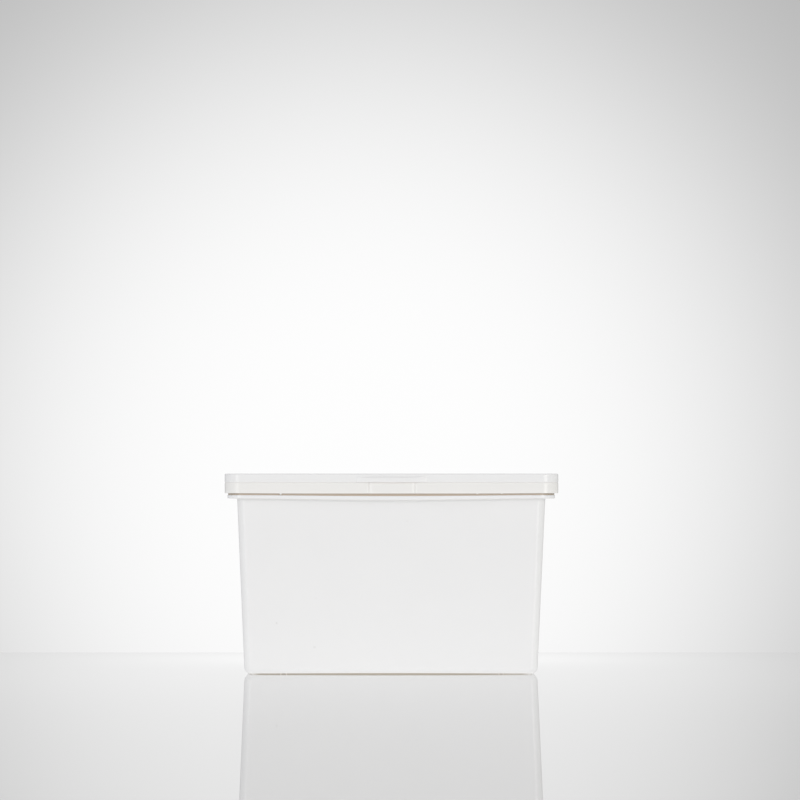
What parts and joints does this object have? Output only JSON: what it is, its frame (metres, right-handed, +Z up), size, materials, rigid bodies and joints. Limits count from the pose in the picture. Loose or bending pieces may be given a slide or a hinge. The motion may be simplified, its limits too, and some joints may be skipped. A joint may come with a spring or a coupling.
{
  "type": "flip-top plastic tub",
  "caption": "Shut rectangular white plastic food tub: tapered body with a flange, a clip-on frame and a flat flip lid with a thumb lip.",
  "frame": {"origin": "on the floor under the middle of the tub", "axes": "+Z up, +X along the tub's width to the right as seen from the front, -Y out of the front with the thumb lip"},
  "size_m": [0.1668, 0.1196, 0.1004],
  "materials": {
    "tub_plastic": "satin moulded white polypropylene",
    "frame_plastic": "satin moulded white polypropylene, a trace warmer than the tub",
    "lid_plastic": "satin moulded white polypropylene"
  },
  "bodies": {
    "root": {"tub": "tub_plastic", "lid_frame": "frame_plastic", "flip_lid": "lid_plastic", "hinge_strap_left": "frame_plastic", "hinge_strap_right": "frame_plastic"}
  },
  "joints": []
}
